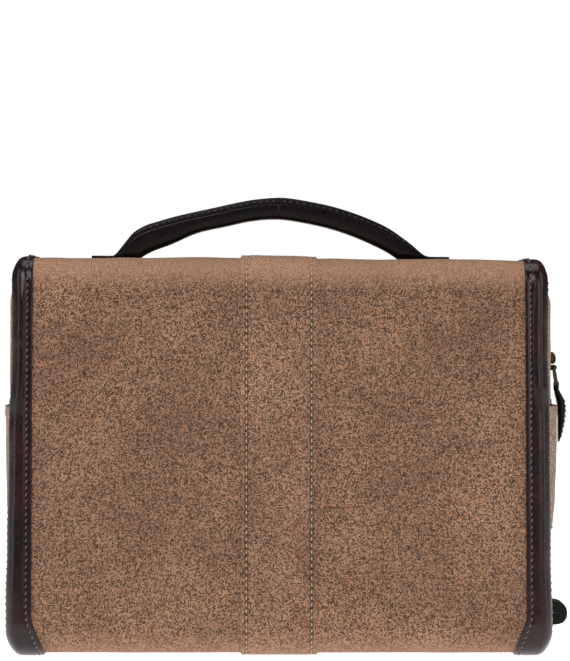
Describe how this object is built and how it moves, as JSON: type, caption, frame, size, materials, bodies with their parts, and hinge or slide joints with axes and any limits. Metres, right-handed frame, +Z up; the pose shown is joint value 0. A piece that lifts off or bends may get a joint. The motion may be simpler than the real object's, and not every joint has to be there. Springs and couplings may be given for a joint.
{
  "type": "doctor bag",
  "caption": "Small zip-top doctor bag in brown waxed canvas with leather-bound ends, a stitched centre band, a padded carry handle, end pockets and a hinged mouth.",
  "frame": {"origin": "centre of the base plane, on the underside of the centre band", "axes": "+Z up, +X along the bag's width towards the zip pull's end, -Y out of the plain back"},
  "size_m": [0.2957, 0.1048, 0.2358],
  "materials": {
    "waxed_canvas": "waxed cotton canvas, mottled brown",
    "canvas_band": "folded waxed canvas, stitched",
    "foam": "felt interlining",
    "lining": "plain cotton",
    "binding_leather": "dark oxblood, polished",
    "piping": "cotton cord",
    "handle_leather": "near-black, smooth",
    "zip_tape": "woven tape",
    "zip_teeth": "antique brass",
    "hardware": "antique brass",
    "stay_steel": "spring steel",
    "board": "covered board"
  },
  "bodies": {
    "body": {"canvas_body": "waxed_canvas", "center_band_body": "canvas_band", "foam_body": "foam", "lining_body": "lining", "binding_left_body": "binding_leather", "binding_right_body": "binding_leather", "piping_left_body": "piping", "piping_right_body": "piping", "end_panel_left_body": "waxed_canvas", "end_panel_right_body": "waxed_canvas", "end_pocket_left": "waxed_canvas", "end_pocket_right": "waxed_canvas", "zip_end_tab_left": "handle_leather", "zip_end_tab_right": "handle_leather", "grab_tab": "handle_leather", "base_board": "board", "inner_pocket": "lining"},
    "back_jaw": {"canvas_back_top": "waxed_canvas", "center_band_back_top": "canvas_band", "foam_back_top": "foam", "lining_back_top": "lining", "binding_left_back": "binding_leather", "binding_right_back": "binding_leather", "piping_left_back": "piping", "piping_right_back": "piping", "end_panel_left_back": "waxed_canvas", "end_panel_right_back": "waxed_canvas", "zip_tape_back": "zip_tape", "zip_chain_back": "zip_teeth", "top_stay_back": "stay_steel", "handle_end_left": "handle_leather", "handle_end_right": "handle_leather"},
    "front_jaw": {"canvas_front_top": "waxed_canvas", "center_band_front_top": "canvas_band", "foam_front_top": "foam", "lining_front_top": "lining", "binding_left_front": "binding_leather", "binding_right_front": "binding_leather", "piping_left_front": "piping", "piping_right_front": "piping", "end_panel_left_front": "waxed_canvas", "end_panel_right_front": "waxed_canvas", "zip_tape_front": "zip_tape", "zip_chain_front": "zip_teeth", "top_stay_front": "stay_steel"},
    "handle": {"handle_grip": "handle_leather"},
    "slider": {"zip_slider": "hardware"},
    "link": {"pull_link": "hardware"},
    "tab": {"pull_tab": "handle_leather"}
  },
  "joints": [
    {"name": "mouth_back", "type": "hinge", "parent": "body", "child": "back_jaw", "pos_m": [0, -0.04671, 0.131], "axis": [1, 0, 0], "range_deg": [0, 45]},
    {"name": "mouth_front", "type": "hinge", "parent": "body", "child": "front_jaw", "pos_m": [0, 0.04671, 0.131], "axis": [-1, 0, 0], "range_deg": [0, 45]},
    {"name": "handle_lean", "type": "hinge", "parent": "back_jaw", "child": "handle", "pos_m": [0, -0.018, 0.215], "axis": [1, 0, 0], "range_deg": [-45, 45], "stiffness_Nm_per_rad": 0.06},
    {"name": "slider_slide", "type": "slide", "parent": "back_jaw", "child": "slider", "axis": [0, 0, 1], "range_m": [0, 0.025]},
    {"name": "link_swing", "type": "hinge", "parent": "slider", "child": "link", "pos_m": [0.14405, 0, 0.147], "axis": [0, -1, 0], "range_deg": [0, 110]},
    {"name": "tab_swing", "type": "hinge", "parent": "link", "child": "tab", "pos_m": [0.14538, 0, 0.13861], "axis": [0, -1, 0], "range_deg": [0, 60]}
  ]
}
